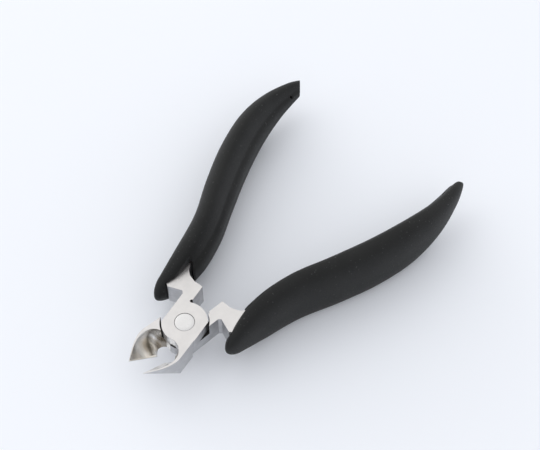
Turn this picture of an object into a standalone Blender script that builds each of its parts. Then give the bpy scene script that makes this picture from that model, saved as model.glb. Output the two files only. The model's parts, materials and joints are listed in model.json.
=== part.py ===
"""Cuticle nipper with soft grips.

Two forged steel levers cross at a lap joint on a flush rivet. Each lever is a jaw, half of the
boss, a stepped neck and a tang, and each tang is buried in a soft grip. A small coil spring in a
pocket between the two laps pushes the handles apart.

The design is drawn in millimetres in the tool frame: the origin is on the pivot, half way through
the steel, +Y runs back toward the handles and +Z is up. A half is drawn closed, with its handle
on +X and its jaw on -X, and is then mirrored if needed and swung open about the pivot.
"""

import math

import bmesh
import bpy
from mathutils import Matrix, Vector

MM = 0.001

# Driving dimensions, in millimetres and degrees.
STEEL_THICKNESS = 8.2
HALF_OPENING = 8.0
LAP_GAP = 0.3
BOSS_RADIUS = 6.6
SHOULDER_GAP = 0.5
HEAD_HALF_WIDTH = 5.7
JAW_GAP = 0.05
JAW_SET = -2.2
TIP_Y = -19.6
HEEL_Y = -10.6
RIVET_HEAD_RADIUS = 2.85
RIVET_HEAD_DEPTH = 1.3
RIVET_SHANK_RADIUS = 1.9
RIVET_CLEARANCE = 0.08
TANG_THICKNESS = 4.6
TANG_HALF_WIDTH = 1.5
TANG_END_Y = 66.0
POCKET_GAP = 0.3
GRIP_START_Y = 3.9
GRIP_END_Y = 97.5
GRIP_HALF_HEIGHT = 10.4
SECTION_POWER = 2.6
SHELL_REACH = 0.75
SHELL_POWER = 2.0
BAND_HEIGHT = 0.476
BAND_POWER = 3.2
END_FACE = (18.15, 94.0)
END_FACE_TURN = 31.7
SPRING_RADIUS = 0.8
SPRING_WIRE_RADIUS = 0.15
SPRING_TURNS = 6
SPRING_LENGTH = 3.4
SPRING_Y = 4.1
SPRING_POCKET_RADIUS = 1.05
SPRING_TRAVEL = 1.3
PIVOT_Y = -36.388

HALF_STEEL = STEEL_THICKNESS / 2
PIVOT = Vector((0.0, PIVOT_Y * MM, GRIP_HALF_HEIGHT * MM))
OVERCUT = 2.0

# The jaw is full width at the shoulder, and its top edge curves from there to the tip.
JAW_SHOULDER_Y = -9.8
JAW_HALF_WIDTH = 5.8
JAW_BACK_Y = 3.0

# The scoop between the closed jaws, at the top and bottom faces of the steel.
SCOOP_BACK_Y = -6.3
SCOOP_TOP = {"front": TIP_Y + 0.25, "widest": -10.6, "half_width": 4.85}
SCOOP_BOTTOM = {"front": HEEL_Y + 0.15, "widest": -8.5, "half_width": 1.75}
SCOOP_BOWL = 1.3

# Neck outline from the boss to the root of the tang: it steps outward and then back.
NECK = (
    (2.1, 0.0),
    (2.1, 12.4),
    (5.1, 12.7),
    (7.4, 13.7),
    (8.7, 15.2),
    (9.3, 17.2),
    (10.0, 19.0),
    (12.6, 19.0),
    (13.0, 12.0),
    (12.4, 8.6),
    (10.8, 7.2),
    (6.4, 8.3),
    (5.7, 7.6),
    (5.7, 0.0),
)
RELIEF = (2.1, 6.75)
RELIEF_RADIUS = 0.5

# The grip's notch, where the neck comes out between the outer shell and the inner band.
NOTCH = ((11.7, 0.0), (9.5, 17.7), (4.4, 13.3), (-2.0, 12.0), (-2.0, 0.0))
PIN_HOLE = (17.7, 88.0, 2.1)
PIN_HOLE_RADIUS = 0.55
PIN_HOLE_TILT = 35.0

# Stations along the grip: y, centre x, half width, half height.
GRIP_STATIONS = (
    (4.0, 13.1, 1.8, 3.5),
    (17.0, 11.4, 4.2, 9.4),
    (30.0, 12.6, 4.6, 11.1),
    (43.0, 16.4, 5.0, 11.3),
    (56.0, 19.7, 5.0, 11.3),
    (69.5, 21.6, 4.5, 10.6),
    (82.5, 21.2, 3.5, 7.4),
    (97.5, 17.8, 1.6, 2.6),
)


def new_collection(name):
    """Add a collection to the scene."""
    collection = bpy.data.collections.new(name)
    bpy.context.scene.collection.children.link(collection)
    return collection


def material(name, color, roughness, metallic):
    """Make a Principled material."""
    made = bpy.data.materials.new(name)
    made.use_nodes = True
    shader = made.node_tree.nodes["Principled BSDF"]
    shader.inputs["Base Color"].default_value = (*color, 1.0)
    shader.inputs["Roughness"].default_value = roughness
    shader.inputs["Metallic"].default_value = metallic
    return made


def mesh_object(name, bm, collection):
    """Turn a bmesh drawn in millimetres into an object."""
    bmesh.ops.recalc_face_normals(bm, faces=bm.faces)
    bmesh.ops.scale(bm, vec=(MM, MM, MM), verts=bm.verts)
    mesh = bpy.data.meshes.new(name)
    bm.to_mesh(mesh)
    bm.free()
    made = bpy.data.objects.new(name, mesh)
    collection.objects.link(made)
    return made


def loft(name, rings, collection):
    """Skin a stack of rings that all have the same number of points, and cap both ends."""
    bm = bmesh.new()
    rows = [[bm.verts.new(point) for point in ring] for ring in rings]
    for low, high in zip(rows, rows[1:]):
        for index, corner in enumerate(low):
            following = (index + 1) % len(low)
            bm.faces.new((corner, low[following], high[following], high[index]))
    bm.faces.new(rows[0][::-1])
    bm.faces.new(rows[-1])
    bmesh.ops.triangulate(bm, faces=bm.faces)
    return mesh_object(name, bm, collection)


def plate(name, outline, bottom, top, collection):
    """Extrude a flat outline between two heights."""
    rings = [[(x, y, z) for x, y in outline] for z in (bottom, top)]
    return loft(name, rings, collection)


def cylinder(name, center, radius, bottom, top, collection, segments=48):
    """Make a vertical cylinder."""
    bm = bmesh.new()
    place = Matrix.Translation((center[0], center[1], (bottom + top) / 2))
    bmesh.ops.create_cone(bm, cap_ends=True, segments=segments, radius1=radius, radius2=radius,
                          depth=top - bottom, matrix=place)
    return mesh_object(name, bm, collection)


def grown(outline, gap):
    """Offset a closed outline outward by a gap, with mitred corners."""
    points = [Vector(point) for point in outline]
    area = sum(a.x * b.y - b.x * a.y for a, b in zip(points, points[1:] + points[:1]))
    turn = 1.0 if area > 0 else -1.0
    offset = []
    for index, point in enumerate(points):
        back = (point - points[index - 1]).normalized()
        ahead = (points[(index + 1) % len(points)] - point).normalized()
        normal_back = Vector((back.y, -back.x)) * turn
        normal_ahead = Vector((ahead.y, -ahead.x)) * turn
        corner = normal_back + normal_ahead
        offset.append(point + corner * (2 * gap / corner.length_squared))
    return [tuple(point) for point in offset]


def combine(target, tool, operation):
    """Join a tool to a target, or cut it away, and keep the tool as a hidden guide."""
    change = target.modifiers.new(tool.name, "BOOLEAN")
    change.operation = operation
    change.object = tool
    change.solver = "EXACT"
    tool.hide_render = True
    tool.display_type = "WIRE"


def mirrored(points, side):
    """Mirror plan points to the other side of the tool."""
    return [(side * point[0], *point[1:]) for point in points]


def boss_outline():
    """The boss is a disc with a flat on each side."""
    reach = math.asin(HEAD_HALF_WIDTH / BOSS_RADIUS)
    steps = 20
    outline = []
    for middle in (math.pi / 2, -math.pi / 2):
        for step in range(steps + 1):
            angle = middle + reach * (2 * step / steps - 1)
            outline.append((BOSS_RADIUS * math.cos(angle), BOSS_RADIUS * math.sin(angle)))
    return outline


def swung(points, degrees):
    """Turn points about the pivot, seen from above."""
    turn = Matrix.Rotation(math.radians(degrees), 3, "Z")
    return [tuple(turn @ Vector(point)) for point in points]


def hull(name, points, collection):
    """Make the convex solid around a set of points."""
    bm = bmesh.new()
    for point in points:
        bm.verts.new(point)
    made = bmesh.ops.convex_hull(bm, input=bm.verts)
    inside = {item for item in made["geom_interior"] if isinstance(item, bmesh.types.BMVert)}
    bmesh.ops.delete(bm, geom=list(inside), context="VERTS")
    return mesh_object(name, bm, collection)


def jaw_points():
    """Corners of the jaw block: a curved top edge, and a short bottom cut back to the heel."""
    steps = 10
    top = HALF_STEEL
    points = []
    for step in range(steps):
        share = step / steps
        points.append((-JAW_HALF_WIDTH * math.cos(math.pi / 2 * share),
                       JAW_SHOULDER_Y + (TIP_Y - JAW_SHOULDER_Y) * share, top))
    points.append((-JAW_GAP, TIP_Y, top))
    points.append((-JAW_GAP, JAW_BACK_Y, top))
    points.append((-HEAD_HALF_WIDTH + 0.1, JAW_BACK_Y, top))
    points.append((-JAW_GAP, HEEL_Y, -top))
    points.append((-JAW_HALF_WIDTH + 0.1, HEEL_Y, -top))
    points.append((-JAW_GAP, JAW_BACK_Y, -top))
    points.append((-HEAD_HALF_WIDTH + 0.3, JAW_BACK_Y, -top))
    return points


def scoop_ring(height):
    """Outline of the scoop at a height from 0, the bottom face, to 1, the top face."""
    sizes = {key: SCOOP_BOTTOM[key] + (SCOOP_TOP[key] - SCOOP_BOTTOM[key]) * height
             for key in SCOOP_TOP}
    bowl = SCOOP_BOWL * math.sin(math.pi * max(0.0, min(1.0, height)))
    widest = sizes["widest"]
    half_width = sizes["half_width"] + bowl
    steps = 10
    right = []
    for step in range(steps):
        angle = math.pi / 2 * (1 - step / steps)
        right.append((half_width * math.cos(angle), widest + (SCOOP_BACK_Y - widest) * math.sin(angle)))
    for step in range(steps):
        share = step / steps
        right.append((half_width * math.cos(math.pi / 2 * share),
                      widest + (sizes["front"] - widest) * share))
    left = [(-x, y) for x, y in reversed(right[1:])]
    return right + [(0.0, sizes["front"])] + left


def scoop(collection, name):
    """The space hollowed out between the jaws."""
    heights = (-OVERCUT / STEEL_THICKNESS, 0.0, 0.2, 0.4, 0.6, 0.8, 1.0, 1 + OVERCUT / STEEL_THICKNESS)
    rings = []
    for height in heights:
        level = STEEL_THICKNESS * (height - 0.5)
        rings.append(swung([(x, y, level) for x, y in scoop_ring(height)], JAW_SET))
    return loft(name, rings, collection)


def track(stations, place):
    """Read a smooth row of values at a place along stations, with a cubic between neighbours."""
    last = len(stations) - 2
    index = max(0, min(last, sum(station[0] <= place for station in stations) - 1))
    before = stations[max(0, index - 1)]
    start = stations[index]
    end = stations[index + 1]
    after = stations[min(last + 1, index + 2)]
    span = end[0] - start[0]
    share = (place - start[0]) / span
    values = []
    for a, b, c, d in zip(before[1:], start[1:], end[1:], after[1:]):
        slope_start = (c - a) / (end[0] - before[0]) * span
        slope_end = (d - b) / (after[0] - start[0]) * span
        blend = 3 * share ** 2 - 2 * share ** 3
        values.append(b + (c - b) * blend
                      + slope_start * (share ** 3 - 2 * share ** 2 + share)
                      + slope_end * (share ** 3 - share ** 2))
    return values


def rounding(place, start, end, reach_start, reach_end):
    """Factor that closes a shape with round ends."""
    factor = 1.0
    if place < start + reach_start:
        factor *= math.sqrt(max(0.0, 1 - ((start + reach_start - place) / reach_start) ** 2))
    if place > end - reach_end:
        factor *= math.sqrt(max(0.0, 1 - ((place - end + reach_end) / reach_end) ** 2))
    return factor


def oval_reach(angle, half_width, half_height, power):
    """Distance from the centre of a squared-off oval to its edge."""
    across = abs(math.cos(angle)) / half_width
    up = abs(math.sin(angle)) / half_height
    return (across ** power + up ** power) ** (-1 / power)


def grip_section(place, points=24):
    """Section of the grip: a tall outer shell with a lower band along its inner side."""
    center, half_width, half_height = track(GRIP_STATIONS, place)
    factor = rounding(place, GRIP_START_Y, GRIP_END_Y, 4.0, 7.0)
    half_width *= max(0.02, factor)
    half_height *= max(0.03, factor ** 0.8)
    ring = []
    for step in range(points):
        angle = math.tau * (step + 0.5) / points
        if math.cos(angle) > 0:
            reach = oval_reach(angle, half_width, half_height, SECTION_POWER)
        else:
            shell = oval_reach(angle, SHELL_REACH * half_width, half_height, SHELL_POWER)
            band = oval_reach(angle, half_width, BAND_HEIGHT * half_height, BAND_POWER)
            reach = max(shell, band)
        height = max(-GRIP_HALF_HEIGHT, reach * math.sin(angle))
        ring.append((center + reach * math.cos(angle), place, height))
    return ring


def grip_body(name, side, collection):
    """Loft of the whole grip, before the neck's notch and the tang's pocket."""
    steps = 26
    rings = []
    for step in range(steps + 1):
        share = 0.5 - 0.5 * math.cos(math.pi * step / steps)
        place = GRIP_START_Y + (GRIP_END_Y - GRIP_START_Y) * share
        rings.append(mirrored(grip_section(place), side))
    return loft(name, rings, collection)


def tang_outline():
    """Flat outline of the tang, which follows the middle of the grip."""
    steps = 12
    start = 15.0
    outer = []
    inner = []
    for step in range(steps + 1):
        place = start + (TANG_END_Y - start) * step / steps
        center = track(GRIP_STATIONS, place)[0]
        half_width = TANG_HALF_WIDTH * (1 - 0.35 * step / steps)
        outer.append((center + half_width, place))
        inner.append((center - half_width, place))
    return inner + outer[::-1]


def lever(name, side, parts, cutters):
    """One steel lever. The lever with its handle on -X has the upper lap."""
    top = HALF_STEEL
    body = hull(name, swung(mirrored(jaw_points(), side), JAW_SET), parts)
    boss = plate(name + "_boss", boss_outline(), -top, top, cutters)
    neck = plate(name + "_neck", mirrored(NECK, side), -top, top, cutters)
    tang = plate(name + "_tang", mirrored(tang_outline(), side),
                 -TANG_THICKNESS / 2, TANG_THICKNESS / 2, cutters)
    for piece in (boss, neck, tang):
        combine(body, piece, "UNION")
    hollow = scoop(cutters, name + "_scoop")
    if side < 0:
        lap_range = (-top - OVERCUT, LAP_GAP / 2)
    else:
        lap_range = (-LAP_GAP / 2, top + OVERCUT)
    lap = cylinder(name + "_lap", (0, 0), BOSS_RADIUS + SHOULDER_GAP, *lap_range, cutters, 64)
    bore = cylinder(name + "_bore", (0, 0), RIVET_SHANK_RADIUS + RIVET_CLEARANCE,
                    -top - OVERCUT, top + OVERCUT, cutters)
    if side < 0:
        head_range = (top - RIVET_HEAD_DEPTH - RIVET_CLEARANCE, top + OVERCUT)
    else:
        head_range = (-top - OVERCUT, -top + RIVET_HEAD_DEPTH + RIVET_CLEARANCE)
    seat = cylinder(name + "_seat", (0, 0), RIVET_HEAD_RADIUS + RIVET_CLEARANCE, *head_range, cutters)
    relief = cylinder(name + "_relief", (side * RELIEF[0], RELIEF[1]), RELIEF_RADIUS,
                      -top - OVERCUT, top + OVERCUT, cutters, 16)
    for piece in (hollow, lap, bore, seat, relief):
        combine(body, piece, "DIFFERENCE")
    return body, (boss, neck, tang, hollow, lap, bore, seat, relief)


def end_cut_outline():
    """What is cut off the end of the grip, behind a flat face that is turned to the inner side."""
    reach = 20.0
    turn = math.radians(END_FACE_TURN)
    along = Vector((math.sin(turn), math.cos(turn))) * reach
    back = Vector((-math.cos(turn), math.sin(turn))) * reach
    middle = Vector(END_FACE)
    corners = (middle - along, middle + along, middle + along + back, middle - along + back)
    return [tuple(corner) for corner in corners]


def pin_hole(name, side, collection):
    """Cutter of the small blind hole that the moulding pin leaves near the grip's end."""
    bm = bmesh.new()
    tilt = Matrix.Rotation(side * math.radians(PIN_HOLE_TILT - 90), 4, "Y")
    x, y, z = PIN_HOLE
    place = Matrix.Translation((side * x, y, z)) @ tilt
    bmesh.ops.create_cone(bm, cap_ends=True, segments=16, radius1=PIN_HOLE_RADIUS,
                          radius2=PIN_HOLE_RADIUS, depth=4.0, matrix=place)
    return mesh_object(name, bm, collection)


def grip(name, side, parts, cutters):
    """One soft grip, with its notch, its tang pocket and the blind hole near its end."""
    body = grip_body(name, side, parts)
    tall = GRIP_HALF_HEIGHT + OVERCUT
    notch = plate(name + "_notch", mirrored(NOTCH, side), -tall, tall, cutters)
    root = plate(name + "_root_pocket", mirrored(grown(NECK, POCKET_GAP), side),
                 -HALF_STEEL - POCKET_GAP, HALF_STEEL + POCKET_GAP, cutters)
    tang = plate(name + "_tang_pocket", mirrored(grown(tang_outline(), POCKET_GAP), side),
                 -TANG_THICKNESS / 2 - POCKET_GAP, TANG_THICKNESS / 2 + POCKET_GAP, cutters)
    hole = pin_hole(name + "_pin_hole", side, cutters)
    end = plate(name + "_end_cut", mirrored(end_cut_outline(), side), -tall, tall, cutters)
    for piece in (notch, root, tang, hole, end):
        combine(body, piece, "DIFFERENCE")
    return body, (notch, root, tang, hole, end)


def rivet(name, parts):
    """Flush rivet: a shank between two equal heads, turned about the pivot."""
    top = HALF_STEEL
    under_head = top - RIVET_HEAD_DEPTH
    profile = (
        (0.0, top),
        (RIVET_HEAD_RADIUS, top),
        (RIVET_HEAD_RADIUS, under_head),
        (RIVET_SHANK_RADIUS, under_head),
        (RIVET_SHANK_RADIUS, -under_head),
        (RIVET_HEAD_RADIUS, -under_head),
        (RIVET_HEAD_RADIUS, -top),
        (0.0, -top),
    )
    mesh = bpy.data.meshes.new(name)
    points = [(radius * MM, 0.0, height * MM) for radius, height in profile]
    mesh.from_pydata(points, [(index, index + 1) for index in range(len(points) - 1)], [])
    made = bpy.data.objects.new(name, mesh)
    parts.objects.link(made)
    turn = made.modifiers.new("turned", "SCREW")
    turn.steps = 48
    turn.render_steps = 48
    turn.use_merge_vertices = True
    turn.merge_threshold = 0.00001
    return made


def spring(name, parts):
    """Coil spring lying across the tool, between the end walls of the two pocket halves."""
    per_turn = 12
    total = SPRING_TURNS * per_turn
    reach = SPRING_LENGTH / 2 - SPRING_WIRE_RADIUS
    curve = bpy.data.curves.new(name, "CURVE")
    curve.dimensions = "3D"
    curve.bevel_depth = SPRING_WIRE_RADIUS * MM
    curve.bevel_resolution = 1
    curve.use_fill_caps = True
    wire = curve.splines.new("POLY")
    wire.points.add(total)
    for step, point in enumerate(wire.points):
        angle = math.tau * step / per_turn
        along = reach * (2 * step / total - 1)
        place = Vector((along, SPRING_RADIUS * math.cos(angle), SPRING_RADIUS * math.sin(angle))) * MM
        point.co = (*place, 1.0)
    made = bpy.data.objects.new(name, curve)
    parts.objects.link(made)
    return made


def spring_pocket(name, side, cutters):
    """Half of the spring's pocket, longer on the side where the other lever's wall travels."""
    lap = LAP_GAP / 2 + OVERCUT
    deep = SPRING_POCKET_RADIUS + LAP_GAP
    low, high = (-lap, deep) if side < 0 else (-deep, lap)
    wall = side * SPRING_LENGTH / 2 + side * 0.05
    free = -side * (SPRING_LENGTH / 2 + SPRING_TRAVEL)
    half = SPRING_POCKET_RADIUS
    outline = [(wall, SPRING_Y - half), (free, SPRING_Y - half),
               (free, SPRING_Y + half), (wall, SPRING_Y + half)]
    return plate(name, outline, low, high, cutters)


def main():
    """Build the nipper in its resting, open pose."""
    for old in list(bpy.data.objects):
        bpy.data.objects.remove(old, do_unlink=True)
    parts = new_collection("cuticle_nipper")
    cutters = new_collection("cutters")
    steel = material("brushed_steel", (0.78, 0.76, 0.73), 0.32, 1.0)
    rivet_steel = material("rivet_steel", (0.82, 0.81, 0.79), 0.25, 1.0)
    spring_steel = material("spring_steel", (0.55, 0.54, 0.52), 0.3, 1.0)
    soft = material("soft_grip", (0.028, 0.028, 0.027), 0.62, 0.0)

    for lever_name, grip_name, side in (("upper_lever", "left_grip", -1), ("lower_lever", "right_grip", 1)):
        pivot = bpy.data.objects.new(lever_name + "_pivot", None)
        parts.objects.link(pivot)
        pivot.location = PIVOT
        pivot.rotation_euler = (0.0, 0.0, -side * math.radians(HALF_OPENING))
        steel_body, steel_tools = lever(lever_name, side, parts, cutters)
        soft_body, soft_tools = grip(grip_name, side, parts, cutters)
        steel_body.data.materials.append(steel)
        soft_body.data.materials.append(soft)
        for piece in (steel_body, soft_body, *steel_tools, *soft_tools):
            piece.parent = pivot
        pocket = spring_pocket(lever_name + "_spring_pocket", side, cutters)
        pocket.location = PIVOT
        combine(steel_body, pocket, "DIFFERENCE")
        soft_body.data.shade_smooth()
        soft_body.data.set_sharp_from_angle(angle=math.radians(40))

    pin = rivet("pivot_rivet", parts)
    pin.location = PIVOT
    pin.data.materials.append(rivet_steel)
    coil = spring("return_spring", parts)
    coil.location = PIVOT + Vector((0.0, SPRING_Y * MM, 0.0))
    coil.data.materials.append(spring_steel)


main()
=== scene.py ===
"""Looks of the cuticle nipper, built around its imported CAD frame.

Every replacement piece is drawn in millimetres in the frame of one closed half: the origin is on
the pivot, half way through the steel, +Y runs back toward the handles and +Z is up. The right
half is drawn on +X, and side -1 mirrors it. The piece is then swung open about the pivot.
"""

import json
import math

import bmesh
import bpy
from mathutils import Matrix, Vector


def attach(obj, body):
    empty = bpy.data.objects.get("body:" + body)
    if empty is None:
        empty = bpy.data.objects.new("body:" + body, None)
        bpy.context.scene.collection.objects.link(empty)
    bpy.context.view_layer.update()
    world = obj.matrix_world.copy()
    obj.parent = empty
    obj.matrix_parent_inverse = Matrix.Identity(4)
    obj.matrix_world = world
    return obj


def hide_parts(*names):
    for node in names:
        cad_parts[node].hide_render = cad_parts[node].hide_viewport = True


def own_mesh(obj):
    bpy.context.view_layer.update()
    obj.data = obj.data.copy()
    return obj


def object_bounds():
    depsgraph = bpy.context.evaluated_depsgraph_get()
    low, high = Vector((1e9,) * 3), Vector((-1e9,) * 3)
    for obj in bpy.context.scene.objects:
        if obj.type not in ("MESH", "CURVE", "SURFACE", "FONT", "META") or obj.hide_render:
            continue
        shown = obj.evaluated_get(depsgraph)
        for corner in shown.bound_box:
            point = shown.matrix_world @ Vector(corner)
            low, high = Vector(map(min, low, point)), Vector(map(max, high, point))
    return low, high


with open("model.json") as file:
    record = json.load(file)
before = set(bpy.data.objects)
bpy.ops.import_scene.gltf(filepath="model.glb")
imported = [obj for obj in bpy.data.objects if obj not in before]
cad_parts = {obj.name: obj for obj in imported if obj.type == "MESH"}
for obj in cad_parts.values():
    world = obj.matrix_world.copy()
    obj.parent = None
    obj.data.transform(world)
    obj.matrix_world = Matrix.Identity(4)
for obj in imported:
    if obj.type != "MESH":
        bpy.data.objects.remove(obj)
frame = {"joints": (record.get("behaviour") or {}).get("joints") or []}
CAD_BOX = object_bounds()

MM = 0.001
JOINT = frame["joints"][0]
PIVOT = Vector(JOINT["pos_m"])
HALF_OPENING = JOINT["range_deg"][1] / 2
HALF_STEEL = 4.1
OVERCUT = 2.0

# The levers, as in the CAD, with their curves drawn finer.
LAP_GAP = 0.3
BOSS_RADIUS = 6.6
SHOULDER_GAP = 0.5
HEAD_HALF_WIDTH = 5.7
JAW_GAP = 0.05
JAW_SET = -2.2
TIP_Y = -19.6
HEEL_Y = -10.6
JAW_SHOULDER_Y = -9.8
JAW_HALF_WIDTH = 5.8
JAW_BACK_Y = 3.0
SCOOP_BACK_Y = -6.3
SCOOP_TOP = {"front": TIP_Y + 0.25, "widest": -10.6, "half_width": 4.85}
SCOOP_BOTTOM = {"front": HEEL_Y + 0.15, "widest": -8.5, "half_width": 1.75}
SCOOP_BOWL = 1.3
NECK = (
    (2.1, 0.0), (2.1, 12.4), (5.1, 12.7), (7.4, 13.7), (8.7, 15.2), (9.3, 17.2), (10.0, 19.0),
    (12.6, 19.0), (13.0, 12.0), (12.4, 8.6), (10.8, 7.2), (6.4, 8.3), (5.7, 7.6), (5.7, 0.0),
)
RELIEF = (2.1, 6.75)
RELIEF_RADIUS = 0.5
RIVET_HEAD_RADIUS = 2.85
RIVET_HEAD_DEPTH = 1.3
RIVET_SHANK_RADIUS = 1.9
RIVET_CLEARANCE = 0.08
TANG_HALF_THICKNESS = 2.3
TANG_HALF_WIDTH = 1.5
TANG_END_Y = 66.0
SPRING_Y = 4.1
SPRING_POCKET_RADIUS = 1.05
SPRING_POCKET_HALF_WIDTH = 1.3
SPRING_HALF_LENGTH = 1.7
SPRING_TRAVEL = 1.3
SPRING_RADIUS = 0.8
SPRING_WIRE_RADIUS = 0.15
SPRING_TURNS = 6
EDGE_BREAK = 0.13

# The grips.
POCKET_GAP = 0.3
GRIP_START_Y = 3.9
GRIP_END_Y = 97.5
GRIP_HALF_HEIGHT = 10.4
SECTION_POWER = 2.6
SHELL_REACH = 0.75
SHELL_POWER = 2.0
BAND_HEIGHT = 0.476
BAND_POWER = 3.2
END_FACE = (18.15, 94.0)
END_FACE_TURN = 31.7
CREASE_SOFTNESS = 30.0
NOTCH = ((11.7, 0.0), (9.5, 17.7), (4.4, 13.3), (-2.0, 12.0), (-2.0, 0.0))
PIN_HOLE = (17.7, 88.0, 2.1)
PIN_HOLE_RADIUS = 0.55
PIN_HOLE_DEPTH = 2.0
PIN_HOLE_TILT = 35.0
ROUND_START = 4.0
ROUND_END = 7.0
# Each station: distance along the grip, centre line, half width and half height.
GRIP_STATIONS = (
    (4.0, 13.1, 1.8, 3.5),
    (17.0, 11.4, 4.2, 9.4),
    (30.0, 12.6, 4.6, 11.1),
    (43.0, 16.4, 5.0, 11.3),
    (56.0, 19.7, 5.0, 11.3),
    (69.5, 21.6, 4.5, 10.6),
    (82.5, 21.2, 3.5, 7.4),
    (97.5, 17.8, 1.6, 2.6),
)
GRIP_VOXEL = 0.24
GRIP_SETTLING = 3

# Painted bands of reflected light and shade on the hollow-ground faces, from the tip to the back of
# the scoop.
REFLECTION_BAND_SLANT = (0.0, 1.0, -0.6)
PAINTED_REFLECTION_BANDS = (
    (0.10, (0.46, 0.45, 0.44)),
    (0.34, (0.74, 0.73, 0.71)),
    (0.50, (0.97, 0.94, 0.89)),
    (0.61, (0.80, 0.75, 0.68)),
    (0.73, (0.22, 0.20, 0.17)),
    (0.82, (0.58, 0.57, 0.55)),
    (0.89, (0.76, 0.75, 0.74)),
    (0.99, (0.30, 0.27, 0.23)),
)
LAND_WIDTH = 0.9
# The honed land is real; its near-white colour is a painted highlight.
LAND_HIGHLIGHT_COLOR = (0.98, 0.95, 0.90, 1.0)

# The view: turn and tilt in degrees, and distance and offset of the joint in millimetres.
CAMERA_TURN = 50.3
CAMERA_TILT = 56.1
CAMERA_DISTANCE = 339.4
CAMERA_AIM = (-24.18, -27.43)

# The surround, from the darkest side at 0 to the brightest at 1.
BRIGHT_SIDE = (-0.85, 0.28, 0.45)
SURROUND_STRENGTH = 1.07
SURROUND = (
    (0.06, (0.06, 0.06, 0.07)),
    (0.20, (0.72, 0.73, 0.75)),
    (0.40, (0.92, 0.93, 0.95)),
    (0.68, (0.94, 0.95, 0.97)),
    (0.85, (0.96, 0.97, 0.98)),
)
TABLE_COLOR = (0.87, 0.89, 0.935, 1.0)
TABLE_HALF_WIDTH = 900.0


# Materials ---------------------------------------------------------------------------------------

def shader_of(name):
    """Make a material and return it with its node tree and Principled shader."""
    made = bpy.data.materials.new(name)
    made.use_nodes = True
    return made, made.node_tree, made.node_tree.nodes["Principled BSDF"]


def node(tree, kind, **values):
    """Add a node and set its inputs by name, with spaces written as underscores."""
    made = tree.nodes.new(kind)
    for key, value in values.items():
        made.inputs[key.replace("_", " ")].default_value = value
    return made


def object_space(tree, stretch):
    """Object coordinates in millimetres, stretched along the axes."""
    place = tree.nodes.new("ShaderNodeTexCoord")
    mapping = node(tree, "ShaderNodeMapping", Scale=[part / MM for part in stretch])
    tree.links.new(place.outputs["Object"], mapping.inputs["Vector"])
    return mapping.outputs["Vector"]


def noise(tree, stretch, scale, detail=3.0, roughness=0.55):
    """Noise over the surface; scale is in cycles a millimetre."""
    made = node(tree, "ShaderNodeTexNoise", Scale=scale, Detail=detail, Roughness=roughness)
    tree.links.new(object_space(tree, stretch), made.inputs["Vector"])
    return made.outputs["Fac"]


def ramp(tree, source, stops):
    """Map a value through colour stops, each a position and a grey or a colour."""
    made = tree.nodes.new("ShaderNodeValToRGB")
    points = made.color_ramp.elements
    while len(points) < len(stops):
        points.new(0.5)
    for point, (position, color) in zip(points, stops):
        point.position = position
        values = color if isinstance(color, tuple) else (color, color, color)
        point.color = (*values, 1.0)
    tree.links.new(source, made.inputs["Fac"])
    return made.outputs["Color"]


def bump(tree, height, distance, strength):
    """Add a bump of some millimetres from a height."""
    made = node(tree, "ShaderNodeBump", Strength=strength, Distance=distance * MM)
    tree.links.new(height, made.inputs["Height"])
    return made.outputs["Normal"]


def mixed(tree, first, second, mode="MIX"):
    """Blend two colours; gives the result and the socket that holds the second one's share."""
    made = tree.nodes.new("ShaderNodeMix")
    made.data_type = "RGBA"
    made.blend_type = mode
    made.inputs["Factor"].default_value = 1.0
    for socket, color in ((made.inputs[6], first), (made.inputs[7], second)):
        if isinstance(color, tuple):
            socket.default_value = color
        else:
            tree.links.new(color, socket)
    return made.outputs[2], made.inputs["Factor"]


def along_direction(tree, place, direction, start, end):
    """How far a place lies along a direction, from 0 at the start to 1 at the end."""
    along = tree.nodes.new("ShaderNodeVectorMath")
    along.operation = "DOT_PRODUCT"
    along.inputs[1].default_value = direction
    tree.links.new(place, along.inputs[0])
    share = node(tree, "ShaderNodeMapRange", From_Min=start, From_Max=end)
    tree.links.new(along.outputs["Value"], share.inputs["Value"])
    return share.outputs["Result"]


def grained_steel(name, roughness, grain, grain_depth):
    """Bare steel with a fine directional grain. Its colour is added by the caller."""
    made, tree, shader = shader_of(name)
    shader.inputs["Metallic"].default_value = 1.0
    lines = noise(tree, grain, 3.0, 4.0, 0.7)
    rough = ramp(tree, lines, ((0.3, roughness - 0.06), (0.7, roughness + 0.08)))
    tree.links.new(rough, shader.inputs["Roughness"])
    tree.links.new(bump(tree, lines, grain_depth, 0.5), shader.inputs["Normal"])
    return made, tree, shader


def steel(name, light, dark, *grain):
    """Satin steel: a fine directional grain over a faintly cloudy tone."""
    made, tree, shader = grained_steel(name, *grain)
    cloud = noise(tree, (1, 1, 1), 0.35, 4.0)
    tone = ramp(tree, cloud, ((0.3, dark), (0.7, light)))
    tree.links.new(tone, shader.inputs["Base Color"])
    return made


def hollow_steel_painted_reflections(name):
    """Hollow-ground steel: painted reflection and shade bands from tip to back, and a painted
    highlight on the land at the edge.
    """
    made, tree, shader = grained_steel(name, 0.22, (4, 4, 0.3), 0.03)
    place = object_space(tree, (1, 1, 1))
    # Painted bands of reflected light and shade across the curved bowl, laid along a slant.
    share = along_direction(tree, place, REFLECTION_BAND_SLANT, TIP_Y, SCOOP_BACK_Y)
    painted_bands = ramp(tree, share, PAINTED_REFLECTION_BANDS)
    across = tree.nodes.new("ShaderNodeSeparateXYZ")
    tree.links.new(place, across.inputs["Vector"])
    distance = tree.nodes.new("ShaderNodeMath")
    distance.operation = "ABSOLUTE"
    tree.links.new(across.outputs["X"], distance.inputs[0])
    # Painted highlight over the real honed land at the cutting edge.
    land_highlight = ramp(tree, distance.outputs["Value"], ((LAND_WIDTH, 1.0), (LAND_WIDTH + 0.12, 0.0)))
    tone, land_highlight_share = mixed(tree, painted_bands, LAND_HIGHLIGHT_COLOR)
    tree.links.new(land_highlight, land_highlight_share)
    tree.links.new(tone, shader.inputs["Base Color"])
    return made


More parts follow.
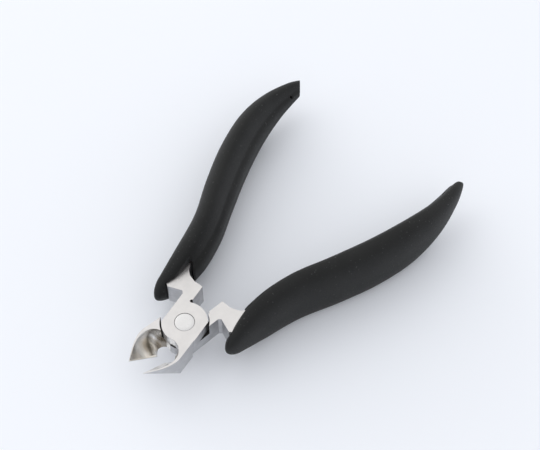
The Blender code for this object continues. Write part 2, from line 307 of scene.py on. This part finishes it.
def soft_grip(name):
    """Matte soft-touch elastomer: charcoal with a fine pebble and sparse pale specks."""
    made, tree, shader = shader_of(name)
    shader.inputs["Sheen Weight"].default_value = 0.03
    shader.inputs["Sheen Roughness"].default_value = 0.45
    shader.inputs["Specular IOR Level"].default_value = 0.22
    pebble = noise(tree, (1, 1, 1), 2.6, 3.0)
    cloud = noise(tree, (1, 1, 1), 0.12, 3.0)
    specks = noise(tree, (1, 1, 1), 1.7, 0.0)
    tone = ramp(tree, cloud, ((0.3, (0.0105, 0.0108, 0.0108)), (0.7, (0.0145, 0.0148, 0.0145))))
    dust = ramp(tree, specks, ((0.76, 0.0), (0.82, 0.03)))
    dusty, _ = mixed(tree, tone, dust, "ADD")
    tree.links.new(dusty, shader.inputs["Base Color"])
    rough = ramp(tree, pebble, ((0.3, 0.55), (0.7, 0.68)))
    tree.links.new(rough, shader.inputs["Roughness"])
    tree.links.new(bump(tree, pebble, 0.05, 0.6), shader.inputs["Normal"])
    return made


def make_materials():
    """All the finishes, by name."""
    return {
        "ground": steel("ground_steel", (0.67, 0.65, 0.637), (0.62, 0.603, 0.592),
                        0.36, (1, 6, 1), 0.014),
        # Forged sides: a real duller finish whose darker base is partly painted shade on the walls.
        "side": steel("forged_side_steel_painted_shade", (0.60, 0.60, 0.61), (0.48, 0.48, 0.49),
                      0.42, (3, 3, 0.6), 0.03),
        "hollow": hollow_steel_painted_reflections("hollow_ground_steel_painted_reflections"),
        # Lap faces: near-black steel, painted shade in the gaps and holes between the parts.
        "lap": steel("lap_painted_shade_steel", (0.07, 0.066, 0.062), (0.04, 0.038, 0.036),
                     0.50, (2, 2, 2), 0.01),
        "rivet": steel("rivet_face_steel", (0.69, 0.68, 0.675), (0.66, 0.65, 0.645),
                       0.30, (5, 1, 1), 0.012),
        "wire": steel("spring_wire_steel", (0.55, 0.54, 0.52), (0.45, 0.44, 0.42),
                      0.3, (1, 1, 6), 0.01),
        "grip": soft_grip("soft_touch_grip"),
    }


# Mesh building -----------------------------------------------------------------------------------

def mesh_object(name, bm, finish=None):
    """Turn a bmesh drawn in millimetres into an object."""
    bmesh.ops.recalc_face_normals(bm, faces=bm.faces)
    bmesh.ops.scale(bm, vec=(MM, MM, MM), verts=bm.verts)
    mesh = bpy.data.meshes.new(name)
    bm.to_mesh(mesh)
    bm.free()
    made = bpy.data.objects.new(name, mesh)
    bpy.context.scene.collection.objects.link(made)
    if finish:
        mesh.materials.append(finish)
    return made


def loft(name, rings, finish=None):
    """Skin a stack of rings that all have the same number of points, and cap both ends."""
    bm = bmesh.new()
    rows = [[bm.verts.new(point) for point in ring] for ring in rings]
    for low, high in zip(rows, rows[1:]):
        for index, corner in enumerate(low):
            following = (index + 1) % len(low)
            bm.faces.new((corner, low[following], high[following], high[index]))
    bm.faces.new(rows[0][::-1])
    bm.faces.new(rows[-1])
    return mesh_object(name, bm, finish)


def plate(name, outline, bottom, top, finish=None):
    """Extrude a flat outline between two heights."""
    return loft(name, [[(x, y, z) for x, y in outline] for z in (bottom, top)], finish)


def disc(name, center, radius, bottom, top, finish=None, segments=96):
    """A vertical cylinder."""
    outline = []
    for step in range(segments):
        angle = math.tau * step / segments
        outline.append((center[0] + radius * math.cos(angle), center[1] + radius * math.sin(angle)))
    return plate(name, outline, bottom, top, finish)


def hull(name, points, finish=None):
    """The convex solid around a set of points."""
    bm = bmesh.new()
    for point in points:
        bm.verts.new(point)
    made = bmesh.ops.convex_hull(bm, input=bm.verts)
    inside = {item for item in made["geom_interior"] if isinstance(item, bmesh.types.BMVert)}
    bmesh.ops.delete(bm, geom=list(inside), context="VERTS")
    return mesh_object(name, bm, finish)


def grown(outline, gap):
    """Offset a closed outline outward by a gap, with mitred corners."""
    points = [Vector(point) for point in outline]
    area = sum(a.x * b.y - b.x * a.y for a, b in zip(points, points[1:] + points[:1]))
    turn = 1.0 if area > 0 else -1.0
    offset = []
    for index, point in enumerate(points):
        back = (point - points[index - 1]).normalized()
        ahead = (points[(index + 1) % len(points)] - point).normalized()
        corner = (Vector((back.y, -back.x)) + Vector((ahead.y, -ahead.x))) * turn
        offset.append(tuple(point + corner * (2 * gap / corner.length_squared)))
    return offset


def mirrored(points, side):
    """Mirror points to the other side of the tool."""
    return [(side * point[0], *point[1:]) for point in points]


def swung(points, degrees):
    """Turn points about the pivot, seen from above."""
    turn = Matrix.Rotation(math.radians(degrees), 3, "Z")
    return [tuple(turn @ Vector(point)) for point in points]


def combined(body, steps):
    """Apply a row of Booleans, each an operation and a tool, and use the tools up."""
    for operation, tool in steps:
        change = body.modifiers.new(tool.name, "BOOLEAN")
        change.operation = operation
        change.object = tool
        change.solver = "EXACT"
        change.material_mode = "TRANSFER"
    settle(body)
    for _, tool in steps:
        bpy.data.objects.remove(tool, do_unlink=True)


def settle(body):
    """Replace an object's mesh with the result of its modifiers."""
    graph = bpy.context.evaluated_depsgraph_get()
    mesh = bpy.data.meshes.new_from_object(body.evaluated_get(graph), depsgraph=graph)
    body.modifiers.clear()
    body.data = mesh


def place_half(piece, side):
    """Swing a closed half open about the pivot."""
    turn = Matrix.Rotation(-side * math.radians(HALF_OPENING), 4, "Z")
    piece.matrix_world = Matrix.Translation(PIVOT) @ turn


# Levers ------------------------------------------------------------------------------------------

def boss_outline():
    """The boss is a disc with a flat on each side."""
    reach = math.asin(HEAD_HALF_WIDTH / BOSS_RADIUS)
    steps = 48
    outline = []
    for middle in (math.pi / 2, -math.pi / 2):
        for step in range(steps + 1):
            angle = middle + reach * (2 * step / steps - 1)
            outline.append((BOSS_RADIUS * math.cos(angle), BOSS_RADIUS * math.sin(angle)))
    return outline


def jaw_points():
    """Corners of the jaw block: a curved top edge, and a short bottom cut back to the heel."""
    steps = 28
    top = HALF_STEEL
    points = []
    for step in range(steps):
        share = step / steps
        points.append((-JAW_HALF_WIDTH * math.cos(math.pi / 2 * share),
                       JAW_SHOULDER_Y + (TIP_Y - JAW_SHOULDER_Y) * share, top))
    points.append((-JAW_GAP, TIP_Y, top))
    points.append((-JAW_GAP, JAW_BACK_Y, top))
    points.append((-HEAD_HALF_WIDTH + 0.1, JAW_BACK_Y, top))
    points.append((-JAW_GAP, HEEL_Y, -top))
    points.append((-JAW_HALF_WIDTH + 0.1, HEEL_Y, -top))
    points.append((-JAW_GAP, JAW_BACK_Y, -top))
    points.append((-HEAD_HALF_WIDTH + 0.3, JAW_BACK_Y, -top))
    return points


def scoop_ring(height):
    """Outline of the scoop at a height from 0, the bottom face, to 1, the top face."""
    sizes = {key: SCOOP_BOTTOM[key] + (SCOOP_TOP[key] - SCOOP_BOTTOM[key]) * height
             for key in SCOOP_TOP}
    bowl = SCOOP_BOWL * math.sin(math.pi * max(0.0, min(1.0, height)))
    widest = sizes["widest"]
    half_width = sizes["half_width"] + bowl
    steps = 28
    right = []
    for step in range(steps):
        angle = math.pi / 2 * (1 - step / steps)
        right.append((half_width * math.cos(angle),
                      widest + (SCOOP_BACK_Y - widest) * math.sin(angle)))
    for step in range(steps):
        share = step / steps
        right.append((half_width * math.cos(math.pi / 2 * share),
                      widest + (sizes["front"] - widest) * share))
    left = [(-x, y) for x, y in reversed(right[1:])]
    return right + [(0.0, sizes["front"])] + left


def scoop(name, finish):
    """The space hollowed out between the jaws."""
    steps = 14
    over = OVERCUT / (2 * HALF_STEEL)
    heights = [-over] + [step / steps for step in range(steps + 1)] + [1 + over]
    rings = []
    for height in heights:
        level = 2 * HALF_STEEL * (height - 0.5)
        rings.append(swung([(x, y, level) for x, y in scoop_ring(height)], JAW_SET))
    return loft(name, rings, finish)


def tang_outline():
    """Flat outline of the tang, which follows the middle of the grip."""
    steps = 24
    start = 15.0
    outer = []
    inner = []
    for step in range(steps + 1):
        place = start + (TANG_END_Y - start) * step / steps
        center = track(GRIP_STATIONS, place)[0]
        half_width = TANG_HALF_WIDTH * (1 - 0.35 * step / steps)
        outer.append((center + half_width, place))
        inner.append((center - half_width, place))
    return inner + outer[::-1]


def spring_pocket(name, side, finish):
    """Half of the spring's pocket, drawn in the rest pose and turned back to the closed one."""
    lap = LAP_GAP / 2 + OVERCUT
    deep = SPRING_POCKET_RADIUS + LAP_GAP
    low, high = (-lap, deep) if side < 0 else (-deep, lap)
    wall = side * (SPRING_HALF_LENGTH + 0.05)
    free = -side * (SPRING_HALF_LENGTH + SPRING_TRAVEL)
    half = SPRING_POCKET_HALF_WIDTH
    outline = [(wall, SPRING_Y - half), (free, SPRING_Y - half),
               (free, SPRING_Y + half), (wall, SPRING_Y + half)]
    turned = [point[:2] for point in swung([(x, y, 0.0) for x, y in outline], side * HALF_OPENING)]
    return plate(name, turned, low, high, finish)


def break_edges(piece):
    """Merge the flat facets, then break every sharp edge with a small rounded bevel."""
    bm = bmesh.new()
    bm.from_mesh(piece.data)
    bmesh.ops.remove_doubles(bm, verts=bm.verts, dist=0.002 * MM)
    bmesh.ops.dissolve_limit(bm, angle_limit=math.radians(0.4), verts=bm.verts, edges=bm.edges,
                             delimit={"MATERIAL"})
    sharp = [edge for edge in bm.edges
             if len(edge.link_faces) == 2 and edge.calc_face_angle(0.0) > math.radians(24)]
    bmesh.ops.bevel(bm, geom=sharp, offset=EDGE_BREAK * MM, segments=2, profile=0.6,
                    affect="EDGES", clamp_overlap=True, material=-1)
    bm.to_mesh(piece.data)
    bm.free()


def give_ground_faces(piece, finish):
    """The flat top and bottom get the lighter ground finish; everything else keeps its own finish,
    whose darker base is partly painted shade.
    """
    mesh = piece.data
    mesh.materials.append(finish)
    ground = len(mesh.materials) - 1
    level = (HALF_STEEL - 0.02) * MM
    for face in mesh.polygons:
        if abs(face.normal.z) > 0.99 and abs(face.center.z) > level:
            face.material_index = ground


def lever(name, side, finishes):
    """One steel lever. The lever with its handle on -X has the upper lap."""
    top = HALF_STEEL
    body = hull(name, swung(mirrored(jaw_points(), side), JAW_SET), finishes["side"])
    if side < 0:
        lap_range = (-top - OVERCUT, LAP_GAP / 2)
        head_range = (top - RIVET_HEAD_DEPTH - RIVET_CLEARANCE, top + OVERCUT)
    else:
        lap_range = (-LAP_GAP / 2, top + OVERCUT)
        head_range = (-top - OVERCUT, -top + RIVET_HEAD_DEPTH + RIVET_CLEARANCE)
    shaded_side_finish = finishes["side"]
    # The lap, bore, seat, relief and pocket faces get near-black steel as painted shade.
    shaded_lap_finish = finishes["lap"]
    through = (-top - OVERCUT, top + OVERCUT)
    lap = BOSS_RADIUS + SHOULDER_GAP
    bore = RIVET_SHANK_RADIUS + RIVET_CLEARANCE
    seat = RIVET_HEAD_RADIUS + RIVET_CLEARANCE
    corner = (side * RELIEF[0], RELIEF[1])
    combined(body, (
        ("UNION", plate("boss", boss_outline(), -top, top, shaded_side_finish)),
        ("UNION", plate("neck", mirrored(NECK, side), -top, top, shaded_side_finish)),
        ("UNION", plate("tang", mirrored(tang_outline(), side),
                        -TANG_HALF_THICKNESS, TANG_HALF_THICKNESS, shaded_side_finish)),
        ("DIFFERENCE", scoop("scoop", finishes["hollow"])),
        ("DIFFERENCE", disc("lap", (0, 0), lap, *lap_range, shaded_lap_finish, 160)),
        ("DIFFERENCE", disc("bore", (0, 0), bore, *through, shaded_lap_finish)),
        ("DIFFERENCE", disc("seat", (0, 0), seat, *head_range, shaded_lap_finish)),
        ("DIFFERENCE", disc("relief", corner, RELIEF_RADIUS, *through, shaded_lap_finish, 32)),
        ("DIFFERENCE", spring_pocket("pocket", side, shaded_lap_finish)),
    ))
    break_edges(body)
    give_ground_faces(body, finishes["ground"])
    body.data.shade_smooth()
    body.data.set_sharp_from_angle(angle=math.radians(50))
    body.modifiers.new("even_shading", "WEIGHTED_NORMAL").keep_sharp = True
    place_half(body, side)
    return body


def rivet(name, finishes):
    """Flush rivet, turned about the pivot, with a faint crown and broken edges."""
    top = HALF_STEEL
    edge = 0.12
    crown = 0.03
    under_head = top - RIVET_HEAD_DEPTH
    rim = RIVET_HEAD_RADIUS
    half = [(0.0, top), (rim * 0.6, top - crown * 0.3), (rim - edge, top - crown),
            (rim - 0.3 * edge, top - crown - 0.3 * edge), (rim, top - crown - edge),
            (rim, under_head), (RIVET_SHANK_RADIUS, under_head)]
    profile = half + [(radius, -height) for radius, height in reversed(half)]
    segments = 96
    bm = bmesh.new()
    rows = []
    for radius, height in profile:
        if radius == 0.0:
            rows.append([bm.verts.new((0.0, 0.0, height))] * segments)
        else:
            rows.append([bm.verts.new((radius * math.cos(math.tau * step / segments),
                                       radius * math.sin(math.tau * step / segments), height))
                         for step in range(segments)])
    for low, high in zip(rows, rows[1:]):
        for index in range(segments):
            following = (index + 1) % segments
            corners = dict.fromkeys((low[index], low[following], high[following], high[index]))
            bm.faces.new(list(corners))
    made = mesh_object(name, bm, finishes["rivet"])
    made.data.shade_smooth()
    made.data.set_sharp_from_angle(angle=math.radians(50))
    made.matrix_world = Matrix.Translation(PIVOT)
    return made


def coil(name, finish):
    """The return spring: a round wire wound between the end walls of the two pocket halves."""
    per_turn = 32
    sides = 12
    total = SPRING_TURNS * per_turn
    reach = SPRING_HALF_LENGTH - SPRING_WIRE_RADIUS
    along = Vector((1.0, 0.0, 0.0))
    rings = []
    for step in range(total + 1):
        angle = math.tau * step / per_turn
        out = Vector((0.0, math.cos(angle), math.sin(angle)))
        middle = Vector((reach * (2 * step / total - 1), SPRING_Y, 0.0)) + out * SPRING_RADIUS
        turns = [math.tau * corner / sides for corner in range(sides)]
        rings.append([middle + (out * math.cos(turn) + along * math.sin(turn)) * SPRING_WIRE_RADIUS
                      for turn in turns])
    return loft(name, rings, finish)


# Grips -------------------------------------------------------------------------------------------

def track(stations, place):
    """Read a smooth row of values at a place along stations, with a cubic between neighbours."""
    last = len(stations) - 2
    index = max(0, min(last, sum(station[0] <= place for station in stations) - 1))
    before = stations[max(0, index - 1)]
    start = stations[index]
    end = stations[index + 1]
    after = stations[min(last + 1, index + 2)]
    span = end[0] - start[0]
    share = (place - start[0]) / span
    values = []
    for a, b, c, d in zip(before[1:], start[1:], end[1:], after[1:]):
        slope_start = (c - a) / (end[0] - before[0]) * span
        slope_end = (d - b) / (after[0] - start[0]) * span
        blend = 3 * share ** 2 - 2 * share ** 3
        values.append(b + (c - b) * blend
                      + slope_start * (share ** 3 - 2 * share ** 2 + share)
                      + slope_end * (share ** 3 - share ** 2))
    return values


def rounding(place, start, end, reach_start, reach_end):
    """Factor that closes a shape with round ends."""
    factor = 1.0
    if place < start + reach_start:
        factor *= math.sqrt(max(0.0, 1 - ((start + reach_start - place) / reach_start) ** 2))
    if place > end - reach_end:
        factor *= math.sqrt(max(0.0, 1 - ((place - end + reach_end) / reach_end) ** 2))
    return factor


def oval_reach(angle, half_width, half_height, power):
    """Distance from the centre of a squared-off oval to its edge."""
    across = abs(math.cos(angle)) / half_width
    up = abs(math.sin(angle)) / half_height
    return (across ** power + up ** power) ** (-1 / power)


def soft_max(a, b, softness):
    """The larger of two lengths, with a rounded valley where they meet."""
    return (a ** softness + b ** softness) ** (1 / softness)


def grip_section(place, points=120):
    """Section of the grip: a tall outer shell with a lower band along its inner side."""
    center, half_width, half_height = track(GRIP_STATIONS, place)
    factor = rounding(place, GRIP_START_Y, GRIP_END_Y, ROUND_START, ROUND_END)
    half_width *= max(0.02, factor)
    half_height *= max(0.03, factor ** 0.8)
    ring = []
    for step in range(points):
        angle = math.tau * (step + 0.5) / points
        if math.cos(angle) > 0:
            reach = oval_reach(angle, half_width, half_height, SECTION_POWER)
        else:
            shell = oval_reach(angle, SHELL_REACH * half_width, half_height, SHELL_POWER)
            band = oval_reach(angle, half_width, BAND_HEIGHT * half_height, BAND_POWER)
            reach = soft_max(shell, band, CREASE_SOFTNESS)
        height = max(-GRIP_HALF_HEIGHT, reach * math.sin(angle))
        ring.append((center + reach * math.cos(angle), place, height))
    return ring


def grip_blank(name, side, finish):
    """The whole grip, before the neck's notch and the tang's pocket."""
    steps = 120
    rings = []
    for step in range(steps + 1):
        share = 0.5 - 0.5 * math.cos(math.pi * step / steps)
        place = GRIP_START_Y + (GRIP_END_Y - GRIP_START_Y) * share
        rings.append(mirrored(grip_section(place), side))
    return loft(name, rings, finish)


def end_cut_outline():
    """What is cut off the end of the grip, behind a flat face that is turned to the inner side."""
    reach = 20.0
    turn = math.radians(END_FACE_TURN)
    along = Vector((math.sin(turn), math.cos(turn))) * reach
    back = Vector((-math.cos(turn), math.sin(turn))) * reach
    middle = Vector(END_FACE)
    corners = (middle - along, middle + along, middle + along + back, middle - along + back)
    return [tuple(corner) for corner in corners]


def pin_hole(name, side, finish):
    """Cutter of the small blind hole that the moulding pin leaves near the grip's end."""
    cutter = disc(name, (0, 0), PIN_HOLE_RADIUS, -PIN_HOLE_DEPTH, PIN_HOLE_DEPTH, finish, 32)
    x, y, z = PIN_HOLE
    tilt = Matrix.Rotation(side * math.radians(PIN_HOLE_TILT - 90), 4, "Y")
    cutter.data.transform(Matrix.Translation(Vector((side * x, y, z)) * MM) @ tilt)
    return cutter


def grip(name, side, finishes):
    """One soft grip, remeshed finely so that every cut edge has a moulded radius."""
    finish = finishes["grip"]
    tall = GRIP_HALF_HEIGHT + OVERCUT
    root = HALF_STEEL + POCKET_GAP
    core = TANG_HALF_THICKNESS + POCKET_GAP
    core_outline = mirrored(grown(tang_outline(), POCKET_GAP), side)
    body = grip_blank(name, side, finish)
    combined(body, (
        ("DIFFERENCE", plate("notch", mirrored(NOTCH, side), -tall, tall, finish)),
        ("DIFFERENCE", plate("root", mirrored(grown(NECK, POCKET_GAP), side), -root, root, finish)),
        ("DIFFERENCE", plate("core", core_outline, -core, core, finish)),
        ("DIFFERENCE", pin_hole("hole", side, finish)),
        ("DIFFERENCE", plate("end", mirrored(end_cut_outline(), side), -tall, tall, finish)),
    ))
    remesh = body.modifiers.new("moulded", "REMESH")
    remesh.mode = "VOXEL"
    remesh.voxel_size = GRIP_VOXEL * MM
    settled = body.modifiers.new("settled", "SMOOTH")
    settled.factor = 0.5
    settled.iterations = GRIP_SETTLING
    settle(body)
    body.data.materials.clear()
    body.data.materials.append(finish)
    body.data.shade_smooth()
    place_half(body, side)
    return body


# Stage -------------------------------------------------------------------------------------------

def area_light(name, place, target, size, power, color):
    """A square soft light that faces a target."""
    data = bpy.data.lights.new(name, "AREA")
    data.shape = "SQUARE"
    data.size = size
    data.energy = power
    data.color = color
    lamp = bpy.data.objects.new(name, data)
    bpy.context.scene.collection.objects.link(lamp)
    lamp.location = place
    lamp.rotation_euler = (Vector(target) - Vector(place)).to_track_quat("-Z", "Y").to_euler()


def studio():
    """A pale table, a pale surround and two large soft lamps on the left."""
    bm = bmesh.new()
    bmesh.ops.create_grid(bm, x_segments=1, y_segments=1, size=TABLE_HALF_WIDTH)
    floor = mesh_object("floor", bm)
    floor.location.z = CAD_BOX[0].z
    made, _, shader = shader_of("table_top")
    shader.inputs["Base Color"].default_value = TABLE_COLOR
    shader.inputs["Roughness"].default_value = 0.6
    shader.inputs["Specular IOR Level"].default_value = 0.2
    floor.data.materials.append(made)

    surround()
    middle = (0.0, 0.0, 0.01)
    area_light("key_light", (-1.50, 0.30, 1.20), middle, 2.4, 4.5, (1.0, 0.985, 0.96))
    area_light("side_light", (-2.0, 0.60, 0.40), middle, 1.0, 5.5, (0.98, 0.99, 1.0))
    bpy.context.scene.view_settings.view_transform = "Standard"


def surround():
    """Soft light from all round, which is dim only low on the right."""
    world = bpy.data.worlds.new("surround")
    bpy.context.scene.world = world
    world.use_nodes = True
    tree = world.node_tree
    place = tree.nodes.new("ShaderNodeTexCoord")
    level = along_direction(tree, place.outputs["Generated"], BRIGHT_SIDE, -1.0, 1.0)
    background = tree.nodes["Background"]
    tree.links.new(ramp(tree, level, SURROUND), background.inputs["Color"])
    background.inputs["Strength"].default_value = SURROUND_STRENGTH


def camera():
    """A long-lens camera in front on the right, looking down at the tool."""
    turn = math.radians(CAMERA_TURN)
    tilt = math.radians(CAMERA_TILT)
    right = Vector((math.sin(turn), math.cos(turn), 0.0))
    away = Vector((-math.cos(turn), math.sin(turn), 0.0))
    up = away * math.sin(tilt) + Vector((0.0, 0.0, math.cos(tilt)))
    forward = away * math.cos(tilt) - Vector((0.0, 0.0, math.sin(tilt)))
    data = bpy.data.cameras.new("camera")
    data.sensor_width = 36.0
    data.lens = 80.0
    data.clip_start = 0.01
    made = bpy.data.objects.new("camera", data)
    bpy.context.scene.collection.objects.link(made)
    joint_top = PIVOT + Vector((0.0, 0.0, HALF_STEEL * MM))
    pose = Matrix((right, up, -forward)).transposed().to_4x4()
    offset = right * CAMERA_AIM[0] + up * CAMERA_AIM[1] + forward * CAMERA_DISTANCE
    pose.translation = joint_top - offset * MM
    made.matrix_world = pose
    bpy.context.scene.camera = made


def main():
    """Build the pieces, ride them on their bodies and set the stage."""
    finishes = make_materials()
    for body, lever_node, grip_node, side in (("upper_half", "upper_lever", "left_grip", -1),
                                              ("lower_half", "lower_lever", "right_grip", 1)):
        steel_piece = lever(lever_node + "_finished", side, finishes)
        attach(steel_piece, body)
        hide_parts(lever_node)
        soft_piece = grip(grip_node + "_moulded", side, finishes)
        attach(soft_piece, body)
        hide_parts(grip_node)
    pin = rivet("pivot_rivet_finished", finishes)
    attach(pin, "lower_half")
    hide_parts("pivot_rivet")
    wound = coil("return_spring_wound", finishes["wire"])
    wound.location = PIVOT
    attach(wound, "lower_half")
    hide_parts("return_spring")
    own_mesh(wound)
    studio()
    camera()


main()
